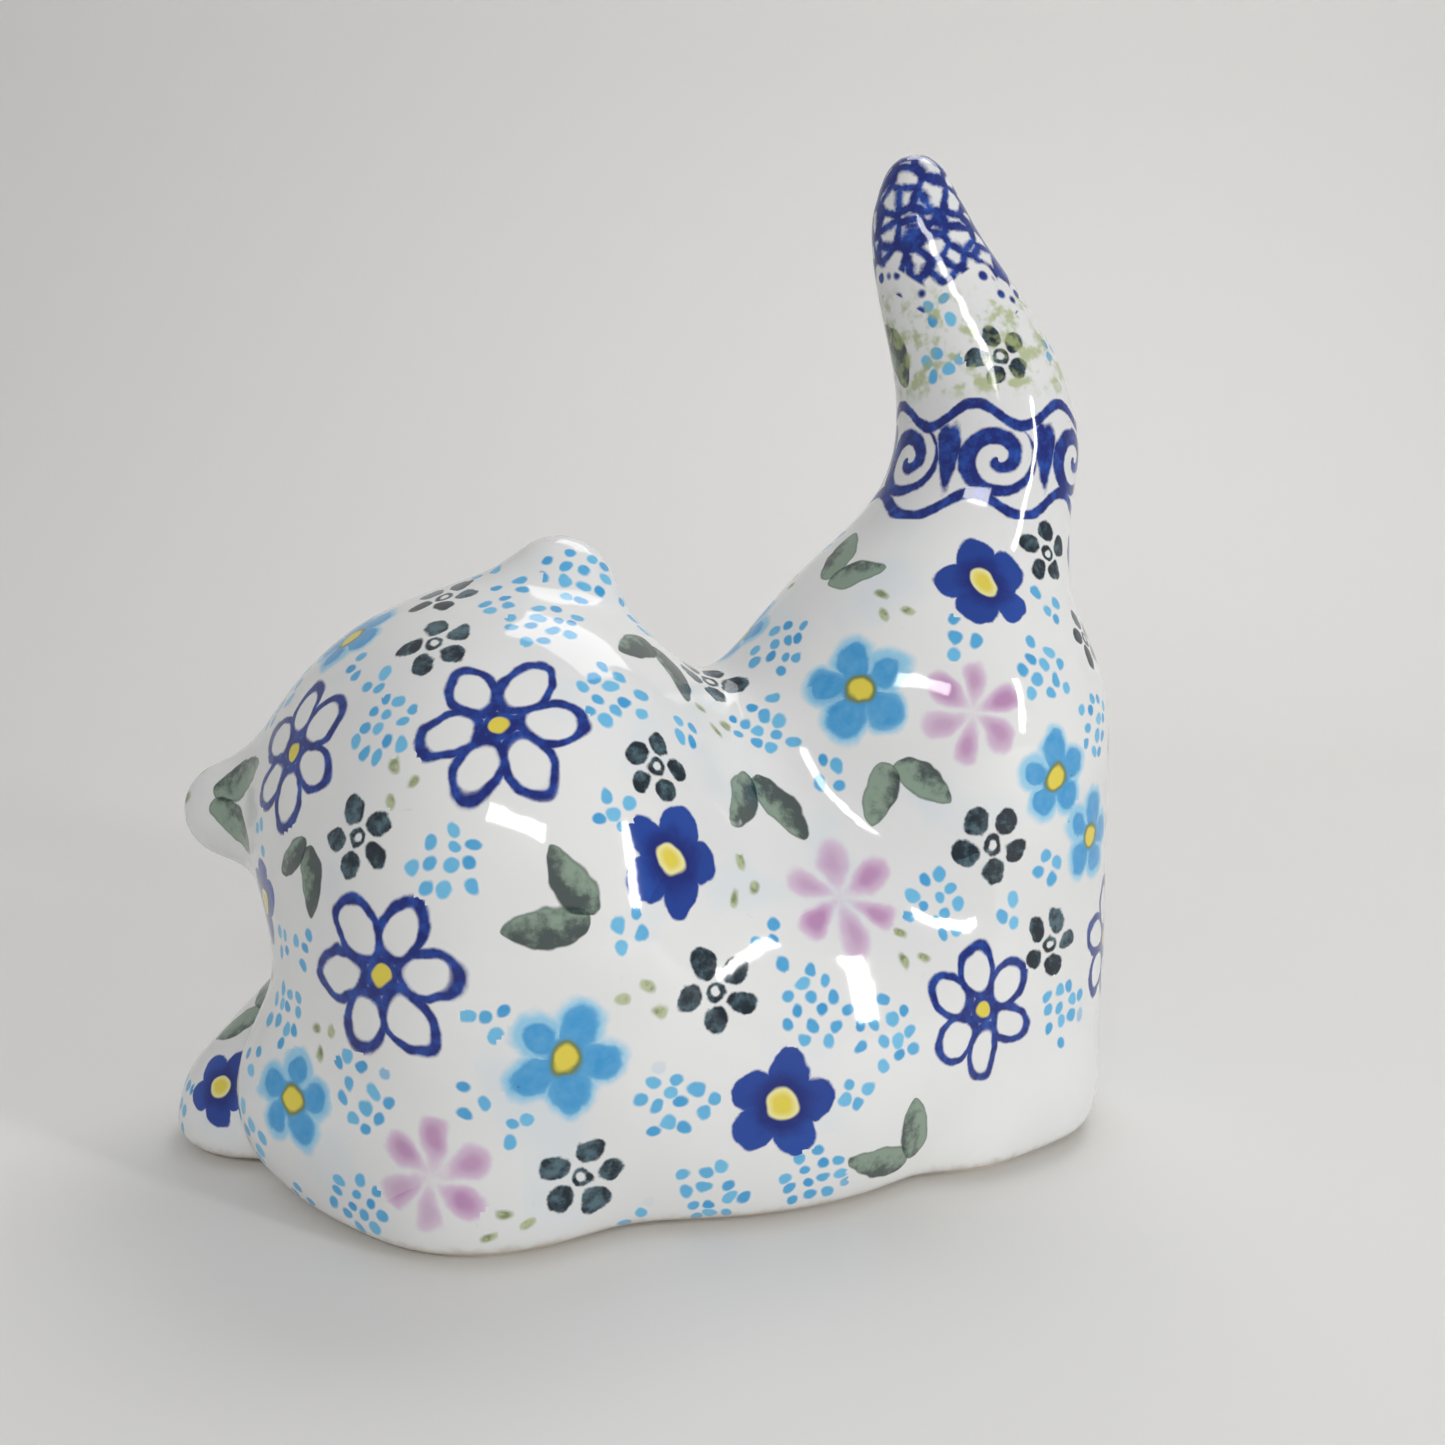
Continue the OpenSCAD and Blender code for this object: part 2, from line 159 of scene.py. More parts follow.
# Where the masses lie and how large they are, in millimetres, as in the CAD model
PAD_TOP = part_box("base_pad")[1].z / METRES
SKIRT_ROUNDING = 2.25
HEAD_AT, HEAD_TILT = Vector((-20.5, 1.5, 37.5)), math.radians(34)
SKULL_HALF, FACE_HALF, CHEEK_HALF = (21.75, 20, 19.25), (18.75, 15, 16.25), (9.5, 9.5, 8.5)
PAD_HALF, CHIN_HALF, NOSE_HALF = (4.8, 4.6, 4), (4, 4, 3.2), (2.2, 1.8, 1.6)
TO_NEAR_EAR = Vector((math.cos(HEAD_TILT), 0, math.sin(HEAD_TILT)))
TO_CROWN = Vector((-math.sin(HEAD_TILT), 0, math.cos(HEAD_TILT)))
EAR_SPLAY = math.radians(28)
EAR_ROOT, EAR_END, EAR_ROOT_RADIUS, EAR_END_RADIUS = 12, 24, 7, 5
FACE_Y = 8
MUZZLE_Y = FACE_Y + 14.5
THIGH_HALF = (23, 15.5, 21)
RUMP_AT = (34.5, 11.5, 63)
TAIL_AT, TAIL_STEPS = Vector((36.5, 12, 71.5)), 8
TAIL_LONG, TAIL_LEAN, TAIL_ROOT, TAIL_TIP = 28.5, 8.5, 8.8, 3.4
RUMP_TOP = TAIL_ROOT + 0.7


def tail_mid(share):
    """Where the middle of the tail is, at this share of its length."""
    lean = TAIL_LEAN * math.sin(math.pi / 2 * share ** 1.1) ** 2
    return TAIL_AT + Vector((-lean, 0, TAIL_LONG * share))


def tail_radius(share):
    """How thick the tail is there, as a radius."""
    return TAIL_TIP + (TAIL_ROOT - TAIL_TIP) * math.cos(math.pi / 2 * share ** 0.7)


def head_mass(p):
    """Skull, face, cheeks, ears, whisker pads, chin and nose, laid out on the tilted head."""
    h = along_axes(p - HEAD_AT, TO_NEAR_EAR, (0, 1, 0), TO_CROWN)
    flat = (h + (0, 1.5, 0)) * (1, 1.25, 1)
    both = h.math("ABSOLUTE") * (1, 0, 0) + h * (0, 1, 1)
    mass = melt(egg(h, (0, 0, 0), SKULL_HALF), egg(h, (0, FACE_Y, -1.5), FACE_HALF), 9)
    mass = melt(mass, egg(both, (8.5, FACE_Y + 4, -5.5), CHEEK_HALF), 9)
    for side in (1, -1):
        way = Vector((side * math.cos(EAR_SPLAY), 0, math.sin(EAR_SPLAY)))
        ear = limb(flat, way * EAR_ROOT, way * EAR_END, EAR_ROOT_RADIUS, EAR_END_RADIUS)
        mass = melt(mass, ear, 9)
    mass = melt(mass, egg(both, (3.6, MUZZLE_Y, -5), PAD_HALF), 4)
    mass = melt(mass, egg(h, (0, MUZZLE_Y - 1.5, -9), CHIN_HALF), 4)
    return melt(mass, egg(h, (0, MUZZLE_Y + 3.6, -2.2), NOSE_HALF), 2)


def tail_mass(p):
    """The tail as a chain of short limbs from the rump to the tip."""
    mass = limb(p, RUMP_AT, TAIL_AT, RUMP_TOP, TAIL_ROOT)
    for i in range(TAIL_STEPS):
        lower, upper = i / TAIL_STEPS, (i + 1) / TAIL_STEPS
        joint = limb(p, tail_mid(lower), tail_mid(upper), tail_radius(lower), tail_radius(upper))
        mass = melt(mass, joint, 6 if i == 0 else 4)
    return mass


def kitten(p):
    """The whole figure, cut flat on top of its pad with a rounded skirt."""
    chest = egg(p, (-12, -5.5, 24.5), (25, 26, 32.5))
    spine = limb(p, (11.5, 6.5, 29.5), RUMP_AT, 14.5, RUMP_TOP)
    belly = egg(p, (10.5, 2, 14.5), (26, 22.5, 20.5))
    hips = limb(p, (29.5, 9.5, 16), (30.5, 9.5, 42), 21, 19.5)
    near_thigh = egg(p, (8, -9, 10.5), THIGH_HALF, 10)
    far_thigh = egg(p, (11.5, 15.5, 10.5), THIGH_HALF, -15)
    near_foot = limb(p, (36, 1.5, 5.5), (30, -2.5, 2), 12.5, 12)
    far_foot = limb(p, (32, 17.5, 5), (25.5, 19.5, 2), 12.5, 12)
    near_foreleg = limb(p, (-15.5, -15, 4.5), (-29, -12.5, 10), 15.5, 11.5)
    far_foreleg = limb(p, (-28.5, 5, 11), (-40.5, -1.5, 2), 13, 10.5)
    mass = chest
    for part, reach in ((head_mass(p), 12), (spine, 15), (belly, 15), (hips, 15), (near_thigh, 12),
                        (far_thigh, 12), (tail_mass(p), 6), (near_foot, 5), (far_foot, 5),
                        (near_foreleg, 8), (far_foreleg, 6)):
        mass = melt(mass, part, reach)
    below = p.dot((0, 0, -1)) + PAD_TOP
    return mass.math("SMOOTH_MAX", below, SKIRT_ROUNDING)


def clay_field():
    """A node group that puts out how far each point lies outside the clay, in millimetres."""
    tree = bpy.data.node_groups.new("clay_surface", "GeometryNodeTree")
    tree.interface.new_socket("Outside", in_out="OUTPUT", socket_type="NodeSocketFloat")
    position = Wire(tree, tree.nodes.new("GeometryNodeInputPosition").outputs[0])
    connect(tree, kitten(position), tree.nodes.new("NodeGroupOutput").inputs[0])
    return tree


# The coat that the casting ends in. Its nodes come with the glaze, further down
painted_glaze = bpy.data.materials.new("painted_glaze")


def casting_tree(low, high):
    """Casts the clay field into a mesh: a block of voxels, its surface, and two nudges onto it."""
    tree = bpy.data.node_groups.new("slip_casting", "GeometryNodeTree")
    sockets = tree.interface
    grain = sockets.new_socket("Grain", in_out="INPUT", socket_type="NodeSocketFloat")
    sponging = sockets.new_socket("Sponging", in_out="INPUT", socket_type="NodeSocketInt")
    sockets.new_socket("Skin", in_out="OUTPUT", socket_type="NodeSocketGeometry")
    new, link = tree.nodes.new, tree.links.new
    inputs = new("NodeGroupInput")
    field = clay_field()

    def outside():
        node = new("GeometryNodeGroup")
        node.node_tree = field
        return Wire(tree, node.outputs[0])

    block = new("GeometryNodeVolumeCube")
    connect(tree, outside() * -1, block.inputs["Density"])
    block.inputs["Background"].default_value = -1
    block.inputs["Min"].default_value = low
    block.inputs["Max"].default_value = high
    for axis, side in zip("XYZ", high - low):
        count = Wire(tree, inputs.outputs["Grain"]).math("POWER", -1) * side
        connect(tree, count, block.inputs["Resolution " + axis])
    skin = new("GeometryNodeVolumeToMesh")
    skin.inputs["Threshold"].default_value = 0
    link(block.outputs[0], skin.inputs["Volume"])
    mesh = skin.outputs[0]
    for _ in range(2):
        nudge = new("GeometryNodeSetPosition")
        normal = Wire(tree, new("GeometryNodeInputNormal").outputs[0])
        link(mesh, nudge.inputs["Geometry"])
        connect(tree, normal * (outside() * -1), nudge.inputs["Offset"])
        mesh = nudge.outputs[0]
    blur = new("GeometryNodeBlurAttribute")
    blur.data_type = "FLOAT_VECTOR"
    link(new("GeometryNodeInputPosition").outputs[0], [s for s in blur.inputs if s.enabled][0])
    link(inputs.outputs["Sponging"], blur.inputs["Iterations"])
    sponge = new("GeometryNodeSetPosition")
    link(mesh, sponge.inputs["Geometry"])
    link([s for s in blur.outputs if s.enabled][0], sponge.inputs["Position"])
    realize = new("GeometryNodeRealizeInstances")
    link(sponge.outputs[0], realize.inputs[0])
    coat = new("GeometryNodeSetMaterial")
    coat.inputs["Material"].default_value = painted_glaze
    link(realize.outputs[0], coat.inputs["Geometry"])
    link(coat.outputs[0], new("NodeGroupOutput").inputs[0])
    return tree, {"Grain": grain.identifier, "Sponging": sponging.identifier}


def cast_skin(grain, sponging):
    """The skin of the whole kitten as one closed mesh, in millimetres."""
    mould_wall = 3
    low = Vector([v / METRES - mould_wall for v in cad_box[0]])
    high = Vector([v / METRES + mould_wall for v in cad_box[1]])
    tree, ports = casting_tree(low, high)
    mould = bpy.data.objects.new("mould", bpy.data.meshes.new("mould"))
    bpy.context.scene.collection.objects.link(mould)
    modifier = mould.modifiers.new("casting", "NODES")
    modifier.node_group = tree
    modifier[ports["Grain"]] = grain
    modifier[ports["Sponging"]] = sponging
    evaluated = mould.evaluated_get(bpy.context.evaluated_depsgraph_get())
    skin = bpy.data.meshes.new_from_object(evaluated)
    bpy.data.objects.remove(mould)
    return skin


# ---- The cast sections ----------------------------------------------------------------
# Head, ears, muzzle, body, legs and tail are cast or pressed apart and luted together with
# slip along flat joints. Each section is cut from the skin at its joint and closed there,
# and keeps the slope of the uncut skin, because the seams are sponged away before firing.


def in_frame(node):
    """The box of a CAD node, in millimetres."""
    return [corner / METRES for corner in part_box(node)]


def on_head(v):
    """A point given along the tilted head's own axes, from the middle of the skull."""
    return HEAD_AT + TO_NEAR_EAR * v[0] + Vector((0, v[1], 0)) + TO_CROWN * v[2]


def ear_joint(side):
    """The joint across an ear's root: a point of it and the way that the ear points."""
    lean = EAR_SPLAY + math.radians(22)
    seat = math.hypot(SKULL_HALF[0] * math.cos(lean), SKULL_HALF[2] * math.sin(lean))
    reach = seat / math.cos(lean - EAR_SPLAY)
    middle = on_head((side * math.cos(EAR_SPLAY) * reach, -1.5, math.sin(EAR_SPLAY) * reach))
    return middle, TO_NEAR_EAR * side * math.cos(lean) + TO_CROWN * math.sin(lean)


def fan_joint(degrees):
    """A joint that fans out from the line above the saddle of the back, facing upwards."""
    turn = math.radians(degrees)
    return Vector((in_frame("haunches")[0].x, 0, 53)), Vector((-math.sin(turn), 0, math.cos(turn)))


WAY_X, WAY_Y, WAY_Z = Vector((1, 0, 0)), Vector((0, 1, 0)), Vector((0, 0, 1))
PAW_JOINT = (Vector((-36, -5.5, 8)), Vector((-16, 0, -13)).normalized())
TOE_LINE = Vector((0, in_frame("near_forepaw")[1].y, 0))
NEAR_FOOT_JOINT = (Vector((35, -6.5, 5.5)), Vector((0.51, -0.68, -0.53)).normalized())
FAR_FOOT_JOINT = (Vector((26.5, 26, 5.5)), Vector((0.1, 0.84, -0.53)).normalized())
MUZZLE_LOW = on_head((0, 0, -15.4))

# Each section, the one that it is luted to, and the joints that bound it
JOINTS = [
    ("haunches", "chest", [fan_joint(-90)]),
    ("tail", "haunches", [fan_joint(12)]),
    ("head", "chest", [fan_joint(37)]),
    ("near_ear", "head", [ear_joint(1)]),
    ("far_ear", "head", [ear_joint(-1)]),
    ("muzzle", "head", [(in_frame("muzzle")[0], WAY_Y)]),
    ("muzzle", "chest", [(in_frame("muzzle")[0], WAY_Y), (MUZZLE_LOW, WAY_Z)]),
    ("near_forepaw", "chest", [PAW_JOINT, (TOE_LINE, -WAY_Y)]),
    ("far_forepaw", "chest", [PAW_JOINT, (TOE_LINE, WAY_Y)]),
    ("near_hind_foot", "haunches", [NEAR_FOOT_JOINT, (in_frame("near_hind_foot")[0], WAY_X)]),
    ("far_hind_foot", "haunches", [FAR_FOOT_JOINT, (in_frame("far_hind_foot")[0], WAY_X)]),
]
SECTIONS = ["chest"] + sorted({name for name, host, joints in JOINTS})
SNAP = 0.02  # a corner this near to a joint counts as lying on it
JOINT_FACE = -1  # the mark of a face that closes a section at a joint


def cut_at_joints(skin):
    """Marks each face of the skin with its section, with an edge along every joint."""
    bm = bmesh.new()
    bm.from_mesh(skin)
    slope = bm.verts.layers.float_vector.new("slope")
    for vert in bm.verts:
        vert[slope] = vert.normal
    mark = bm.faces.layers.int.new("section")
    for name, host, joints in JOINTS:
        faces = [f for f in bm.faces if f[mark] == SECTIONS.index(host)]
        for at, way in joints:
            across = {e for f in faces for e in f.edges
                      if (e.verts[0].co - at).dot(way) * (e.verts[1].co - at).dot(way) < 0}
            touched = {f for e in across for f in e.link_faces}
            corners = {v for f in touched for v in f.verts}
            edges = {e for f in touched for e in f.edges}
            bmesh.ops.bisect_plane(bm, geom=[*corners, *edges, *touched], dist=SNAP,
                                   plane_co=at, plane_no=way)
            faces = [f for f in bm.faces if f[mark] == SECTIONS.index(host)]
        for f in faces:
            if all((f.calc_center_median() - at).dot(way) > 0 for at, way in joints):
                f[mark] = SECTIONS.index(name)
    bm.to_mesh(skin)
    bm.free()


def section_mesh(skin, name):
    """One closed section. Its joint faces are flat shaded, and its skin keeps the uncut slope."""
    mesh = skin.copy()
    mesh.name = name
    bm = bmesh.new()
    bm.from_mesh(mesh)
    mark = bm.faces.layers.int["section"]
    others = [f for f in bm.faces if f[mark] != SECTIONS.index(name)]
    bmesh.ops.delete(bm, geom=others, context="FACES")
    open_edges = [e for e in bm.edges if e.is_boundary]
    caps = bmesh.ops.holes_fill(bm, edges=open_edges, sides=0)["faces"]
    for cap in bmesh.ops.poke(bm, faces=caps)["faces"]:
        cap[mark] = JOINT_FACE
    bm.to_mesh(mesh)
    bm.free()
    slopes = np.empty(len(mesh.vertices) * 3, np.float32)
    mesh.attributes["slope"].data.foreach_get("vector", slopes)
    slopes = slopes.reshape(-1, 3)
    normals = []
    for face, owner in zip(mesh.polygons, mesh.attributes["section"].data):
        flat = owner.value == JOINT_FACE
        normals += [face.normal if flat else slopes[v] for v in face.vertices]
    mesh.shade_smooth()
    mesh.normals_split_custom_set(normals)
    for helper in ("slope", "section"):
        mesh.attributes.remove(mesh.attributes[helper])
    return mesh


skin = cast_skin(grain=0.5, sponging=4)
cut_at_joints(skin)
sections = {name: section_mesh(skin, name) for name in SECTIONS}

# ---- The painted flowers --------------------------------------------------------------
# The decoration is brushed and stamped in oxides under the glaze: outlined daisies, solid
# blossoms, leaves, dots and sprigs, laid by hand over the whole figure in no fixed order.
# Here each motif has a place on the skin, and each face knows the motif that it belongs to.

# How far each motif reaches from its middle, in millimetres
REACH = {
    "daisy": 8.9, "cobalt_blossom": 5.5, "sky_blossom": 6.2, "pink_blossom": 6.6, "ink_flower": 4.4,
    "leaf_pair": 6.6, "leaf": 4.5, "dots": 4.6, "few_dots": 2.8, "sprig": 3.2,
    "eye": 4.6, "mouth": 6.5, "whiskers": 7.5, "inner_ear": 5.0,
}
KINDS = list(REACH)
rng = np.random.default_rng(7)

# Which way the painter looks at each side, and which two coordinates say where
SIDES = {
    "near": (WAY_Y, WAY_Z, lambda a, b: Vector((a, 0, b))),
    "far": (-WAY_Y, WAY_Z, lambda a, b: Vector((a, 0, b))),
    "front": (WAY_X, WAY_Z, lambda a, b: Vector((0, a, b))),
    "rear": (-WAY_X, WAY_Z, lambda a, b: Vector((0, a, b))),
    "top": (-WAY_Z, -WAY_X, lambda a, b: Vector((a, b, 0))),
    "face": (-WAY_Y, TO_CROWN, lambda a, b: on_head((a, 0, b))),
}
bare_skin = bmesh.new()
bare_skin.from_mesh(skin)
touch = BVHTree.FromBMesh(bare_skin)
bare_skin.free()
MOST_MOTIFS = 1200
motifs = []
taken = np.zeros((MOST_MOTIFS, 4))  # the place and reach of each motif


def clear_of_motifs(place, reach, snug):
    """Whether a motif of this reach keeps clear of those already painted."""
    others = taken[:len(motifs)]
    return (np.linalg.norm(others[:, :3] - place, axis=1) > (reach + others[:, 3]) * snug).all()


def add_motif(kind, at, out, up, turn=0.0, size=1.0):
    """Puts a motif on the skin at a point, with its own two axes there."""
    up = (up - out * up.dot(out)).normalized()
    right = up.cross(out)
    c, s = math.cos(math.radians(turn)), math.sin(math.radians(turn))
    taken[len(motifs)] = (*at, REACH[kind] * size)
    motifs.append((kind, at, out, right * c + up * s, up * c - right * s, size, rng.random()))


def paint(kind, side, *places):
    """Paints a motif at each place of a side: two coordinates, then its turn and size."""
    look, up, spot = SIDES[side]
    for a, b, *how in places:
        at, out = touch.ray_cast(spot(a, b) - look * 300, look)[:2]
        if at:
            add_motif(kind, at, out, up, *how)


paint("eye", "face", (-7.6, 1.8, -10), (7.6, 1.8, 10))
paint("mouth", "face", (0, -4.2))
paint("whiskers", "face", (-14.5, -6.5, 8), (14.5, -6.5, 172))
paint("inner_ear", "face", (-21, 11), (21, 11))
paint("daisy", "near", (-33, 44, 10, 0.9), (-12, 48, 25, 0.92), (-22, 27, 5, 0.95),
      (33, 18, 18, 0.82))
paint("cobalt_blossom", "near", (34, 59, 10), (3, 36, 40), (13, 13, 0), (-37, 29, 20, 0.85),
      (-44, 8, 0, 0.8))
paint("sky_blossom", "near", (21, 49, 0), (-6, 20, 15), (41, 40, 30, 0.85), (-32, 13, 50, 0.85))
paint("pink_blossom", "near", (19, 30, 12, 0.95), (32, 47, 0, 0.85), (-18, 9, 30, 0.9))
paint("ink_flower", "near", (-20, 58, 0), (34, 34, 20), (6, 49, 10), (7, 24, 40),
      (36, 82, 0, 0.9), (-5, 8, 15))
paint("leaf_pair", "near", (11, 38, 250, 0.95), (-7, 34, 150, 0.9), (24, 7, 130, 0.9),
      (21, 61, 60, 0.85), (25, 39, 290, 0.85), (-31, 34, 250, 0.8))
paint("daisy", "far", (22, 36, 0, 0.9), (2, 18, 20, 0.8), (38, 15, 10, 0.8))
paint("cobalt_blossom", "far", (37, 52, 0), (12, 17, 30), (26, 17, 10), (-36, 9, 0, 0.8))
paint("sky_blossom", "far", (38, 33, 10), (30, 64, 0, 0.8))
paint("pink_blossom", "far", (27, 52, 30, 0.9), (12, 48, 10, 0.9), (-14, 13, 0, 0.8))
paint("leaf_pair", "far", (11, 28, 20, 0.85), (-8, 6, 100, 0.8))
paint("cobalt_blossom", "front", (4, 44, 20))
paint("sky_blossom", "front", (14, 34, 0, 0.9), (-6, 54, 10, 0.9))
paint("leaf_pair", "front", (-2, 14, 200, 0.9))
paint("daisy", "rear", (10, 42, 0, 0.9), (2, 20, 25, 0.85))
paint("cobalt_blossom", "rear", (21, 26, 0), (11, 60, 30))
paint("sky_blossom", "rear", (13, 12, 0, 0.85), (-3, 33, 40, 0.9))
paint("pink_blossom", "rear", (20, 50, 10, 0.9))
paint("leaf_pair", "rear", (12, 29, 20, 0.9))
paint("pink_blossom", "top", (-24, 6, 0, 0.9))
paint("sky_blossom", "top", (10, 8, 0, 0.85))


def corners_of(mesh):
    """A mesh's corner places, the vertex of each corner and the face of each corner."""
    places = np.empty(len(mesh.vertices) * 3, np.float32)
    mesh.vertices.foreach_get("co", places)
    vertex = np.empty(len(mesh.loops), np.int32)
    mesh.loops.foreach_get("vertex_index", vertex)
    total = np.empty(len(mesh.polygons), np.int32)
    mesh.polygons.foreach_get("loop_total", total)
    return places.reshape(-1, 3)[vertex], np.repeat(np.arange(len(total)), total), total


def face_values(mesh, what):
    """The middle or the normal of each face."""
    values = np.empty(len(mesh.polygons) * 3, np.float32)
    mesh.polygons.foreach_get(what, values)
    return values.reshape(-1, 3)


# Small motifs fill what is left between the large ones, wherever the next one still fits
middles, outs = face_values(skin, "center"), face_values(skin, "normal")
FOOT_LEFT_BARE = in_frame("near_hind_foot")
BAND_LOW, BAND_HIGH, LACE_LOW = 66, 77, 89


def free_at(place, reach):
    """Whether a motif of this reach has room here, and keeps off the rim, the band and the lace."""
    if place.z < PAD_TOP + reach * 0.8 or BAND_LOW - reach < place.z < BAND_HIGH + reach:
        return False
    low, high = FOOT_LEFT_BARE
    if place.z > LACE_LOW - reach or all(low[i] - 1 < place[i] < high[i] + 1 for i in range(3)):
        return False
    return clear_of_motifs(place, reach, 0.92)


FILLERS = [
    ("leaf_pair", 500, 0.9), ("ink_flower", 300, 0.95), ("dots", 6000, 0.92), ("leaf", 500, 0.95),
    ("sprig", 1500, 0.9), ("few_dots", 9000, 0.9), ("sprig", 3000, 0.8),
]
for kind, tries, snug in FILLERS:
    for face in rng.integers(len(middles), size=tries):
        place, out = Vector(middles[face]), Vector(outs[face])
        size = 0.85 + 0.2 * rng.random()
        if free_at(place, REACH[kind] * size * snug):
            add_motif(kind, place, out, WAY_Z + WAY_X * 0.01, 360 * rng.random(), size)


def lay_painting(mesh):
    """Writes on each face which motif it belongs to, and on its corners where they lie on it."""
    middle, out = face_values(mesh, "center"), face_values(mesh, "normal")
    stray, too_far, still_facing = 0.6, 9, 0.1
    nearest = np.full(len(middle), stray, np.float32)
    owner = np.full(len(middle), -1)
    for i, (kind, at, facing, right, up, size, seed) in enumerate(motifs):
        away = np.linalg.norm(middle - np.array(at), axis=1) - REACH[kind] * size
        away[out @ np.array(facing) < still_facing] = too_far
        owner[away < nearest] = i
        nearest = np.minimum(nearest, away)
    places, face, total = corners_of(mesh)
    axes = [[*at, *right, *up, size, seed] for kind, at, facing, right, up, size, seed in motifs]
    nobodys = [0] * 9 + [1, 0]
    mine = np.array([*axes, nobodys])[owner[face]]
    at, right, up, size, seed = np.split(mine, (3, 6, 9, 10), axis=1)
    away = places - at
    flat = np.stack([(away * right).sum(1), (away * up).sum(1)], 1)
    stretch = np.linalg.norm(away, axis=1) / np.maximum(np.linalg.norm(flat, axis=1), 1e-6)
    flat *= stretch[:, None] / size
    on_motif = mesh.attributes.new("on_motif", "FLOAT_VECTOR", "CORNER")
    on_motif.data.foreach_set("vector", np.hstack([flat, seed]).astype(np.float32).ravel())
    kinds = np.array([KINDS.index(m[0]) + 1 for m in motifs] + [0])[owner]
    motif_kind = mesh.attributes.new("motif_kind", "FLOAT", "FACE")
    motif_kind.data.foreach_set("value", kinds.astype(np.float32))


for mesh in sections.values():
    lay_painting(mesh)

# ---- The glaze and what is painted under it -------------------------------------------
# One transparent glaze covers the painting: glassy, a little uneven, with pinholes and specks
# of iron. Each motif is a node group that lays its strokes over the ground it is given, in
# millimetres round its own middle.

COBALT, COBALT_THIN = (0.002, 0.014, 0.17, 1), (0.012, 0.075, 0.40, 1)
SKY, SKY_THIN = (0.025, 0.29, 0.62, 1), (0.20, 0.56, 0.80, 1)
PINK, PINK_THIN = (0.42, 0.16, 0.38, 1), (0.62, 0.41, 0.60, 1)
INK, INK_THIN = (0.005, 0.014, 0.024, 1), (0.085, 0.15, 0.18, 1)
LEAF, LEAF_THIN = (0.008, 0.030, 0.026, 1), (0.20, 0.29, 0.21, 1)
OLIVE, OLIVE_THIN = (0.15, 0.20, 0.05, 1), (0.38, 0.44, 0.19, 1)
YELLOW, YELLOW_THIN = (0.76, 0.62, 0.07, 1), (0.84, 0.78, 0.36, 1)


def texture(tree, kind, vector, scale, out, **settings):
    """A texture node that reads this vector at this scale."""
    node = tree.nodes.new("ShaderNodeTex" + kind)
    connect(tree, vector, node.inputs["Vector"])
    if "Scale" in node.inputs:
        node.inputs["Scale"].default_value = scale
    for name, value in settings.items():
        if name in node.inputs:
            node.inputs[name].default_value = value
        else:
            setattr(node, name, value)
    return Wire(tree, node.outputs[out])


def fade(value, start, end):
    """0 before start, 1 past end, and a smooth ramp between them."""
    node = value.tree.nodes.new("ShaderNodeMapRange")
    node.interpolation_type = "SMOOTHSTEP"
    connect(value.tree, value, node.inputs["Value"])
    connect(value.tree, start, node.inputs["From Min"])
    connect(value.tree, end, node.inputs["From Max"])
    return Wire(value.tree, node.outputs[0])


def inside(distance, soft):
    """1 inside an edge and 0 outside it, softened over this width."""
    return fade(distance, soft, -soft)


def layered(ground, ink, cover):
    """Ink over a ground, as thick as its cover."""
    node = cover.tree.nodes.new("ShaderNodeMix")
    node.data_type = "RGBA"
    connect(cover.tree, cover, node.inputs["Factor"])
    connect(cover.tree, ground, node.inputs[6])
    connect(cover.tree, ink, node.inputs[7])
    return Wire(cover.tree, node.outputs[2])


def parts(vector):
    """The three parts of a vector."""
    node = vector.tree.nodes.new("ShaderNodeSeparateXYZ")
    connect(vector.tree, vector, node.inputs[0])
    return [Wire(vector.tree, out) for out in node.outputs]


def joined(tree, x, y, z=0.0):
    """A vector made of three parts."""
    node = tree.nodes.new("ShaderNodeCombineXYZ")
    for port, value in zip(node.inputs, (x, y, z)):
        connect(tree, value, port)
    return Wire(tree, node.outputs[0])


def petals(at, count):
    """Folds a flower onto one petal: the place along it, across it, and a number for each petal."""
    x, y, seed = parts(at)
    share = y.math("ARCTAN2", x) * (count / math.tau) + seed
    turn = (share.math("FRACT") - 0.5) * (math.tau / count)
    out = joined(at.tree, x, y).length()
    which = share.math("FLOOR").math("MODULO", count)
    luck = texture(at.tree, "WhiteNoise", joined(at.tree, which, seed), 1, 0)
    return out * turn.math("COSINE"), out * turn.math("SINE"), out, luck


def oval(x, y, middle, long, wide):
    """Roughly how far a point is outside an oval that lies along x."""
    return (joined(x.tree, (x - middle) / long, y / wide).length() - 1) * wide


def motif_group(name, draw):
    """A node group that paints one kind of motif. draw gives its layers as covers and inks."""
    tree = bpy.data.node_groups.new(name, "ShaderNodeTree")
    for label, kind in (("At", "Vector"), ("Here", "Float"), ("Pooling", "Float"),
                        ("Ground", "Color"), ("Thick ink", "Color"), ("Thin ink", "Color")):
        tree.interface.new_socket(label, in_out="INPUT", socket_type="NodeSocket" + kind)
    tree.interface.new_socket("Painted", in_out="OUTPUT", socket_type="NodeSocketColor")
    ports = tree.nodes.new("NodeGroupInput").outputs
    at, here, pooling, painted, thick, thin = (Wire(tree, ports[i]) for i in range(6))
    for cover, ink in draw(at, pooling, thick, thin):
        painted = layered(painted, ink, cover * here)
    connect(tree, painted, tree.nodes.new("NodeGroupOutput").inputs[0])
    return tree


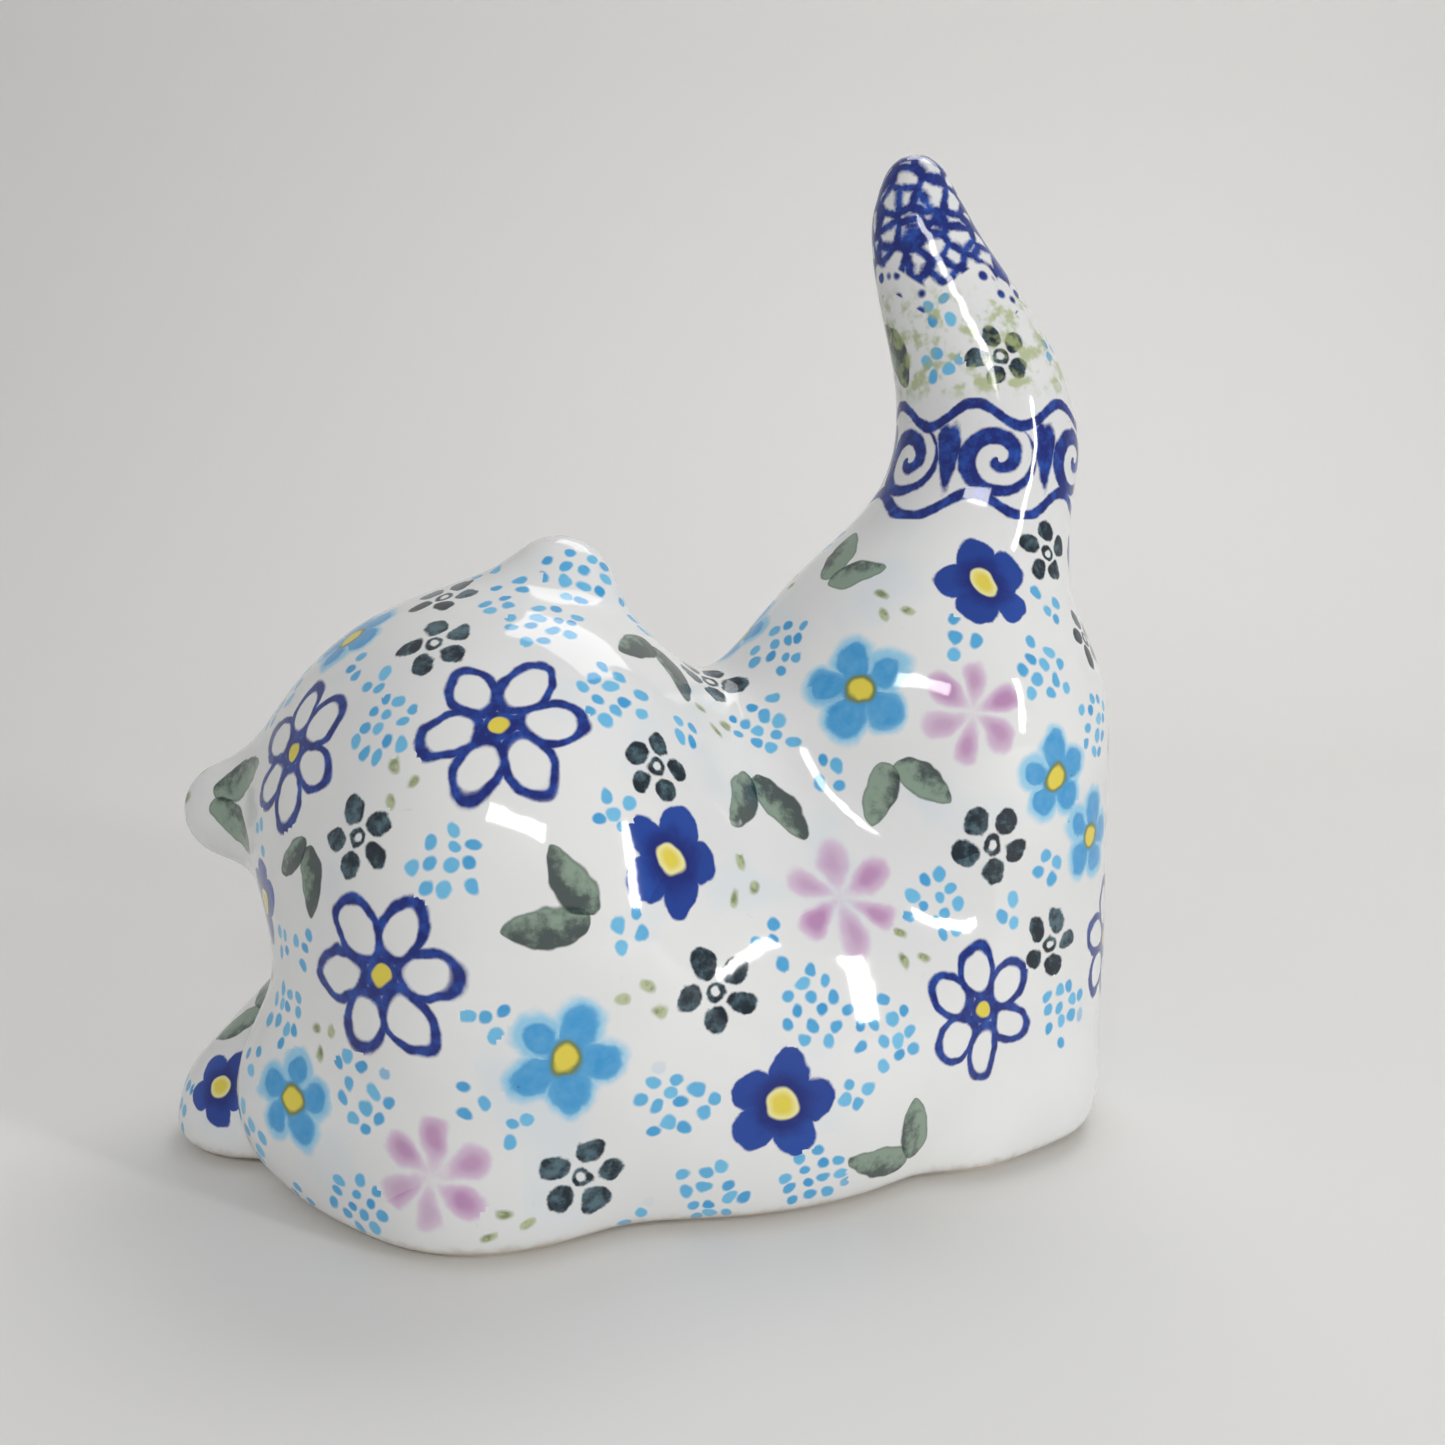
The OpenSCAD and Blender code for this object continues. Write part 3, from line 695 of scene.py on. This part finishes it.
def daisy(at, pooling, thick, thin):
    """Six open petals drawn with one loop of the brush each, and a yellow eye."""
    along, across, out, luck = petals(at, 6)
    loop = oval(along, across, luck * 0.4 + 4.7, 3.1, 2.25).math("ABSOLUTE") - 0.5
    stroke = inside(loop.math("MINIMUM", out - 1.75) + pooling * 0.3 - 0.12, 0.16)
    yield stroke, layered(thick, thin, fade(pooling, 0.35, 0.8))
    yield inside(out - 1.0, 0.14), YELLOW


def solid_blossom(at, pooling, thick, thin):
    """Five full petals, darker towards the yellow eye."""
    along, across, out, luck = petals(at, 5)
    petal = oval(along, across, 3.0, 2.2, 2.05)
    edge = petal.math("SMOOTH_MIN", out - 2.5, 0.8) + pooling * 0.5 - 0.25
    inner = fade(out + pooling * 1.6, 2.4, 4.6)
    yield inside(edge, 0.14), layered(thick, thin, inner * (luck * 0.5 + 0.35))
    yield inside(out - 1.5, 0.16), layered(YELLOW, YELLOW_THIN, fade(out, 0.6, 1.5))


def washed_blossom(at, pooling, thick, thin):
    """A pale wash with a second coat that doesn't reach its edges, and a yellow eye."""
    along, across, out, luck = petals(at, 5)
    petal = oval(along, across, 3.2, 2.5, 2.3)
    edge = petal.math("SMOOTH_MIN", out - 2.8, 0.8) + pooling * 0.8 - 0.4
    yield inside(edge - 0.1, 0.5) * 0.8, thin
    yield inside(edge + luck * 0.7 + 0.3, 0.22) * (pooling * 0.5 + 0.6), thick
    yield inside(out - 1.85 + pooling * 0.4, 0.3), OLIVE
    yield inside(out - 1.5 + pooling * 0.5, 0.25), YELLOW


def loose_petals(at, pooling, thick, thin):
    """Six soft petals that don't touch."""
    along, across, out, luck = petals(at, 6)
    edge = oval(along, across, luck * 0.4 + 3.4, 2.5, along * 0.27 + 0.45)
    yield inside(edge + pooling * 0.5 - 0.3, 0.35) * (luck * 0.3 + 0.55), thin
    yield inside(edge + 0.55, 0.6) * (luck * 0.5 + 0.3), thick


def ink_flower(at, pooling, thick, thin):
    """Five dabs of nearly black ink round a ring."""
    along, across, out, luck = petals(at, 5)
    ring = (out - 0.75).math("ABSOLUTE") - 0.28
    edge = oval(along, across, 2.7, 1.3, 1.22).math("MINIMUM", ring) + pooling * 0.7 - 0.35
    yield inside(edge, 0.14), layered(thick, thin, fade(pooling + luck * 0.25, 0.5, 0.85))


def dot_patch(reach):
    """A patch of dots, each set down with the tip of the brush, as far out as this reach."""
    def draw(at, pooling, thick, thin):
        x, y, seed = parts(at)
        shift, apart = seed * 40, 2.05
        cells = at.tree.nodes.new("ShaderNodeTexVoronoi")
        cells.voronoi_dimensions = "2D"
        connect(at.tree, joined(at.tree, x + shift, y), cells.inputs["Vector"])
        cells.inputs["Scale"].default_value = 1 / apart
        cells.inputs["Randomness"].default_value = 0.35
        away = Wire(at.tree, cells.outputs["Distance"]) * apart
        luck = parts(Wire(at.tree, cells.outputs["Color"]))[0]
        dot = Wire(at.tree, cells.outputs["Position"])
        from_middle = (dot - joined(at.tree, shift, 0)).length()
        edge = away - luck * 0.12 - 0.68 + pooling * 0.3 - 0.12
        cover = inside(edge, 0.16) * inside(from_middle - reach, 0.01)
        yield cover, layered(thick, thin, luck * 0.7 + pooling * 0.3)
    return draw


def pressed_leaf(x, y, seed, pooling):
    """One press of a loaded brush along x: its edge, and how loaded each point is."""
    half = 4.2
    share = ((x + half) / (half * 2)).math("MAXIMUM", 0).math("MINIMUM", 1)
    bend = y + x * x * 0.02
    belly = (share.math("POWER", 0.8) * math.pi).math("SINE").math("MAXIMUM", 0)
    width = belly.math("POWER", 0.6) * 2.05
    edge = (bend.math("ABSOLUTE") - width).math("MAXIMUM", x.math("ABSOLUTE") - half)
    loaded = fade(bend * 0.8 + (seed - 0.5) * 2.4 + (pooling - 0.5) * 5.5, -1.4, 0.9)
    rim = inside(edge.math("ABSOLUTE") - 0.18, 0.25)
    return edge + pooling * 0.3 - 0.12, loaded.math("MAXIMUM", rim * 0.75)


def leaf(at, pooling, thick, thin):
    """A single leaf, dark along one side and thin along the other."""
    x, y, seed = parts(at)
    edge, load = pressed_leaf(x, y, seed, pooling)
    yield inside(edge, 0.15) * 0.92, layered(thin, thick, load)


def leaf_pair(at, pooling, thick, thin):
    """Two leaves that part from the same point."""
    x, y, seed = parts(at)
    for turn, size in ((34, 1.0), (-30, 0.92)):
        c, s = math.cos(math.radians(turn)) / size, math.sin(math.radians(turn)) / size
        x_own, y_own = (x + 4.6) * c + y * s - 4.9, y * c - (x + 4.6) * s
        edge, load = pressed_leaf(x_own, y_own, seed, pooling)
        yield inside(edge, 0.15) * 0.92, layered(thin, thick, load)


def sprig(at, pooling, thick, thin):
    """Thin olive dabs left and right of a stem that isn't drawn."""
    x, y, seed = parts(at)
    step = x / 1.9 + 0.5
    side = step.math("FLOOR").math("MODULO", 2).math("ABSOLUTE") * 2 - 1
    x_own, y_own = (step.math("FRACT") - 0.5) * 1.9, y - side * 1.0
    edge = oval(x_own + y_own * side * 0.6, y_own - x_own * side * 0.4, 0.0, 1.0, 0.56)
    cover = inside(edge + pooling * 0.6 - 0.3, 0.25) * inside(x.math("ABSOLUTE") - 2.9, 0.1)
    yield cover * (pooling * 0.6 + 0.55), layered(thin, thick, fade(pooling, 0.4, 0.65))


def eye(at, pooling, thick, thin):
    """A round eye with a slit, outlined in cobalt, and a painted highlight: a small white glint."""
    x, y, seed = parts(at)
    edge = y.math("ABSOLUTE") - (x * x * -0.17 + 1.9)
    out = joined(at.tree, x, y).length()
    yield inside(edge.math("MAXIMUM", out - 3.4), 0.14), (0.55, 0.60, 0.30, 1)
    yield inside(oval(y, x, 0.0, 1.75, 0.6), 0.12), INK
    yield inside(edge.math("ABSOLUTE").math("MAXIMUM", out - 3.6) - 0.24, 0.12), thick
    # Painted highlight: a white glint dot in the eye, brighter than the white glaze
    yield inside(joined(at.tree, x - 0.5, y - 0.8).length() - 0.35, 0.1), (0.9, 0.9, 0.88, 1)


def mouth(at, pooling, thick, thin):
    """A pink nose, and a mouth drawn as two small hooks."""
    x, y, seed = parts(at)
    nose = joined(at.tree, x * (y * -0.1 + 1), y - 1.9).length() - 1.75
    hook = (joined(at.tree, x.math("ABSOLUTE") - 1.5, y + 1.7).length() - 1.5).math("ABSOLUTE")
    below = hook.math("MAXIMUM", y + 1.7)
    line = x.math("ABSOLUTE").math("MAXIMUM", (y + 0.8).math("ABSOLUTE") - 0.9)
    yield inside(below.math("MINIMUM", line) - 0.2, 0.1), COBALT
    yield inside(nose, 0.2), layered(thick, thin, pooling)


def whiskers(at, pooling, thick, thin):
    """Three fine strokes that fan out over the cheek, and three freckles at their root."""
    x, y, seed = parts(at)
    lines = None
    for slope in (-0.36, 0.0, 0.36):
        bow = y - (x + 9.5) * slope - x * x * slope * 0.04
        ends = (x - 0.6).math("ABSOLUTE") - 4.6
        stroke = (bow.math("ABSOLUTE") + x * 0.022 - 0.2).math("MAXIMUM", ends)
        freckle = joined(at.tree, x + 5.6, y - slope * 3.6).length() - 0.34
        both = stroke.math("MINIMUM", freckle)
        lines = both if lines is None else lines.math("MINIMUM", both)
    yield inside(lines, 0.12) * 0.85, thick


def inner_ear(at, pooling, thick, thin):
    """A soft pink wash inside the ear."""
    x, y, seed = parts(at)
    yield inside(oval(x, y, 0.0, 4.0, 2.6), 1.3) * 0.7, thin


MOTIF_INKS = [
    ("daisy", daisy, COBALT, COBALT_THIN), ("cobalt_blossom", solid_blossom, COBALT, COBALT_THIN),
    ("sky_blossom", washed_blossom, SKY, SKY_THIN), ("pink_blossom", loose_petals, PINK, PINK_THIN),
    ("ink_flower", ink_flower, INK, INK_THIN), ("leaf_pair", leaf_pair, LEAF, LEAF_THIN),
    ("leaf", leaf, LEAF, LEAF_THIN), ("dots", dot_patch(4.1), SKY, SKY_THIN),
    ("few_dots", dot_patch(2.2), SKY, SKY_THIN), ("sprig", sprig, OLIVE, OLIVE_THIN),
    ("eye", eye, COBALT, COBALT_THIN), ("mouth", mouth, PINK, PINK_THIN),
    ("whiskers", whiskers, COBALT, COBALT_THIN), ("inner_ear", inner_ear, PINK, PINK_THIN),
]


def tail_painting(place, pooling, painted):
    """A band of running scrolls round the tail, olive mottling above it, and a cobalt lace tip."""
    tree = place.tree
    x, y, z = parts(place)
    scrolls, radius = 6, 9.2
    turns = (y - TAIL_AT.y).math("ARCTAN2", x - TAIL_AT.x + 0.6) * (scrolls / math.tau)
    cell = math.tau * radius / scrolls
    u = (turns.math("FRACT") - 0.5) * cell
    v = z - (BAND_LOW + BAND_HIGH) / 2
    out = joined(tree, u, v).length()
    curl = out / 2.9 - v.math("ARCTAN2", u) / math.tau
    spiral = (curl.math("FRACT") - 0.5).math("ABSOLUTE") * 2.9 - (out * 0.15 + 0.52)
    scroll = spiral.math("MAXIMUM", out - 3.9)
    sway = (turns * math.tau).math("SINE")
    above, below = v - sway * 1.2 - 4.5, v - sway * 1.2 + 4.7
    waves = above.math("ABSOLUTE").math("MINIMUM", below.math("ABSOLUTE"))
    beside = u.math("ABSOLUTE") - cell / 2
    drop = oval(v + beside * 0.8, beside, 0.0, 3.4, (v * 0.14 + 1.05).math("MAXIMUM", 0.4))
    strokes = scroll.math("MINIMUM", waves - 0.62).math("MINIMUM", drop)
    band = inside(strokes + pooling * 0.5 - 0.24, 0.16)
    blue = layered(COBALT, COBALT_THIN, fade(pooling, 0.4, 0.75))
    painted = layered(painted, blue, band * inside(v.math("ABSOLUTE") - 6.2, 0.1))
    mottle = texture(tree, "Noise", place, 0.55, 0, Detail=2.0, Roughness=0.6)
    reach = fade(z, BAND_HIGH, BAND_HIGH + 2) * fade(z, LACE_LOW + 1, LACE_LOW - 2)
    painted = layered(painted, OLIVE_THIN, fade(mottle, 0.46, 0.68) * reach * 0.8)
    net = texture(tree, "Voronoi", place, 0.42, 0, feature="DISTANCE_TO_EDGE", Randomness=0.8)
    holes = inside(net * 2.4 - 0.85 + pooling * 0.8, 0.22)
    hem = sway * 1.3 + LACE_LOW + 1
    painted = layered(painted, blue, holes * fade(z, hem, hem + 0.4))
    dots = texture(tree, "Voronoi", place, 0.5, 0, Randomness=0.3) * 2
    row = fade(z, hem, hem - 0.3) * fade(z, hem - 2.6, hem - 2.4)
    return layered(painted, blue, inside(dots - 0.62, 0.15) * row)


def fill_glaze(material):
    """White-glazed stoneware with the painting under a glassy coat."""
    material.use_nodes = True
    tree = material.node_tree
    shader = tree.nodes["Principled BSDF"]
    place = Wire(tree, tree.nodes.new("ShaderNodeTexCoord").outputs["Object"]) * (1 / METRES)
    drift = texture(tree, "Noise", place, 0.045, 0, Detail=1.0)
    painted = layered((0.74, 0.745, 0.735, 1), (0.80, 0.80, 0.785, 1), fade(drift, 0.35, 0.65))
    wash = texture(tree, "Noise", place + (31, 7, 12), 0.075, 0, Detail=2.0)
    painted = layered(painted, (0.53, 0.66, 0.78, 1), fade(wash, 0.56, 0.74) * 0.3)
    pooling = texture(tree, "Noise", place, 0.75, 0, Detail=3.0, Roughness=0.6)
    shake = texture(tree, "Noise", place, 0.22, "Color", Detail=2.0)
    reader = tree.nodes.new("ShaderNodeAttribute")
    reader.attribute_name = "on_motif"
    stray = 2.2
    at = Wire(tree, reader.outputs["Vector"]) + (shake - (0.5, 0.5, 0.5)) * (stray, stray, 0)
    reader = tree.nodes.new("ShaderNodeAttribute")
    reader.attribute_name = "motif_kind"
    kind = Wire(tree, reader.outputs["Fac"])
    for name, draw, thick, thin in MOTIF_INKS:
        node = tree.nodes.new("ShaderNodeGroup")
        node.node_tree = motif_group(name, draw)
        here = kind.math("COMPARE", KINDS.index(name) + 1, 0.5)
        for port, value in zip(node.inputs, (at, here, pooling, painted, thick, thin)):
            connect(tree, value, port)
        painted = Wire(tree, node.outputs[0])
    painted = tail_painting(place, pooling, painted)
    rim = fade(parts(place)[2] + pooling * 1.6, PAD_TOP + 2.4, PAD_TOP + 0.9)
    painted = layered(painted, (0.50, 0.43, 0.34, 1), rim * 0.75)
    cells = tree.nodes.new("ShaderNodeTexVoronoi")
    connect(tree, place, cells.inputs["Vector"])
    cells.inputs["Scale"].default_value = 0.3
    rare = fade(Wire(tree, cells.outputs["Color"]).dot((1, 0, 0)), 0.72, 0.73)
    speck = inside(Wire(tree, cells.outputs["Distance"]) - 0.028, 0.012) * rare
    painted = layered(painted, (0.10, 0.085, 0.07, 1), speck * 0.8)
    connect(tree, painted, shader.inputs["Base Color"])
    swell = texture(tree, "Noise", place, 0.12, 0, Detail=2.0)
    peel = texture(tree, "Noise", place, 0.9, 0, Detail=1.0)
    bump = tree.nodes.new("ShaderNodeBump")
    bump.inputs["Distance"].default_value = METRES
    bump.inputs["Strength"].default_value = 0.35
    connect(tree, swell * 0.3 + peel * 0.015 - speck * 0.2, bump.inputs["Height"])
    connect(tree, Wire(tree, bump.outputs[0]), shader.inputs["Normal"])
    connect(tree, fade(peel, 0.2, 0.8) * 0.03 + 0.05, shader.inputs["Roughness"])
    shader.inputs["IOR"].default_value = 1.5


fill_glaze(painted_glaze)
for name, mesh in sections.items():
    mesh.transform(Matrix.Scale(METRES, 4))
    mesh.materials.clear()
    mesh.materials.append(painted_glaze)
    piece = bpy.data.objects.new("glazed_" + name, mesh)
    bpy.context.scene.collection.objects.link(piece)
    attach(piece, "root")
    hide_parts(name)
bpy.data.meshes.remove(skin)

# ---- The bare foot ring ---------------------------------------------------------------
# The figure stands on a low pad of bare stoneware: the glaze is wiped off it before firing, so
# that it doesn't stick to the kiln shelf. It is the CAD model's own pad, in the colour of clay.


def bare_clay_material():
    """Fired clay with dark grit, flashed a little lighter where the flame reached it."""
    material = bpy.data.materials.new("bare_stoneware")
    material.use_nodes = True
    tree = material.node_tree
    shader = tree.nodes["Principled BSDF"]
    place = Wire(tree, tree.nodes.new("ShaderNodeTexCoord").outputs["Object"]) * (1 / METRES)
    flame = texture(tree, "Noise", place, 0.08, 0, Detail=2.0)
    grit = texture(tree, "Noise", place, 4.5, 0, Detail=3.0, Roughness=0.7)
    clay = layered((0.56, 0.50, 0.42, 1), (0.66, 0.61, 0.53, 1), fade(flame, 0.35, 0.65))
    clay = layered(clay, (0.30, 0.25, 0.19, 1), fade(grit, 0.60, 0.74) * 0.7)
    connect(tree, clay, shader.inputs["Base Color"])
    connect(tree, grit * 0.15 + 0.72, shader.inputs["Roughness"])
    bump = tree.nodes.new("ShaderNodeBump")
    bump.inputs["Distance"].default_value = 0.08 * METRES
    bump.inputs["Strength"].default_value = 0.8
    connect(tree, grit, bump.inputs["Height"])
    connect(tree, Wire(tree, bump.outputs[0]), shader.inputs["Normal"])
    return material


base_pad = bpy.data.objects["base_pad"]
for slot in base_pad.material_slots:
    slot.material = bare_clay_material()

# ---- The studio -----------------------------------------------------------------------
# The figure stands on a sweep of pale paper that rises behind it. A long softbox hangs in front,
# a tall one stands on the right and leans, and a broad one hangs behind, in an even room.

SWEEP_FRONT, BEND_START, BEND, SWEEP_TOP, SWEEP_SIDE = -4, 0.2, 0.25, 2.5, 4
sweep_line = [(SWEEP_FRONT, 0)]
sweep_line += [(BEND_START + BEND * math.sin(a), BEND - BEND * math.cos(a))
               for a in np.linspace(0, math.pi / 2, 17)]
sweep_line += [(BEND_START + BEND, SWEEP_TOP)]
sweep_mesh = bpy.data.meshes.new("paper_sweep")
sweep_mesh.from_pydata(
    [(x, y, z) for y, z in sweep_line for x in (-SWEEP_SIDE, SWEEP_SIDE)], [],
    [(i * 2, i * 2 + 1, i * 2 + 3, i * 2 + 2) for i in range(len(sweep_line) - 1)])
sweep_mesh.shade_smooth()


ROOM_COLOUR = (0.97, 0.98, 1.0, 1)


def seen_rays(tree):
    """1 for a ray that shows a backdrop, straight or in a gloss, and 0 for one that lights."""
    rays = tree.nodes.new("ShaderNodeLightPath").outputs
    seen = Wire(tree, rays["Is Camera Ray"]) + Wire(tree, rays["Is Glossy Ray"])
    return (seen + Wire(tree, rays["Is Transmission Ray"])).math("MINIMUM", 1)


def pale_paper_material():
    """Matt paper. Where it runs out of the lamps' light, it looks as pale as the room."""
    material = bpy.data.materials.new("pale_paper")
    material.use_nodes = True
    tree = material.node_tree
    shader = tree.nodes["Principled BSDF"]
    shader.inputs["Base Color"].default_value = (0.80, 0.79, 0.77, 1)
    shader.inputs["Roughness"].default_value = 0.7
    shader.inputs["Emission Color"].default_value = ROOM_COLOUR
    away = Wire(tree, tree.nodes.new("ShaderNodeTexCoord").outputs["Object"]).length()
    connect(tree, seen_rays(tree) * fade(away, 0.6, 1.2) * 0.16, shader.inputs["Emission Strength"])
    return material


sweep_mesh.materials.append(pale_paper_material())
sweep = bpy.data.objects.new("paper_sweep", sweep_mesh)
bpy.context.scene.collection.objects.link(sweep)


def softbox(name, azimuth, elevation, lean, wide, tall, power):
    """An area lamp that faces the figure from this azimuth, counted from the front, and leans."""
    aimed_at, far = Vector((0, 0, 0.045)), 0.7
    around, above = math.radians(azimuth), math.radians(elevation)
    light = bpy.data.lights.new(name, "AREA")
    light.shape, light.size, light.size_y, light.energy = "RECTANGLE", wide, tall, power
    level = math.cos(above)
    away = Vector((math.sin(around) * level, -math.cos(around) * level, math.sin(above)))
    lamp = bpy.data.objects.new(name, light)
    lamp.location = aimed_at + away * far
    turned = away.to_track_quat("Z", "Y") @ Quaternion((0, 0, 1), math.radians(-lean))
    lamp.rotation_euler = turned.to_euler()
    bpy.context.scene.collection.objects.link(lamp)


softbox("long_softbox", 0, 33, 15, 0.34, 0.075, 1.2)
softbox("tall_softbox", 56, 15, 8, 0.05, 0.3, 1.4)
softbox("top_softbox", 155, 58, 0, 0.45, 0.35, 1.5)

room = bpy.data.worlds.new("room")
room.use_nodes = True
walls = room.node_tree.nodes["Background"]
walls.inputs["Color"].default_value = ROOM_COLOUR
connect(room.node_tree, seen_rays(room.node_tree) * 0.14 + 0.38, walls.inputs["Strength"])
bpy.context.scene.world = room
bpy.context.scene.view_settings.view_transform = "Standard"

LOOKS_DOWN = 9.7
camera = bpy.data.objects.new("camera", bpy.data.cameras.new("camera"))
camera.data.sensor_width = 36
camera.data.lens = 34.88
camera.data.clip_start = 0.01
camera.location = (0.0075, -0.1447, 0.069)
camera.rotation_euler = (math.radians(90 - LOOKS_DOWN), 0, 0)
bpy.context.scene.collection.objects.link(camera)
bpy.context.scene.camera = camera
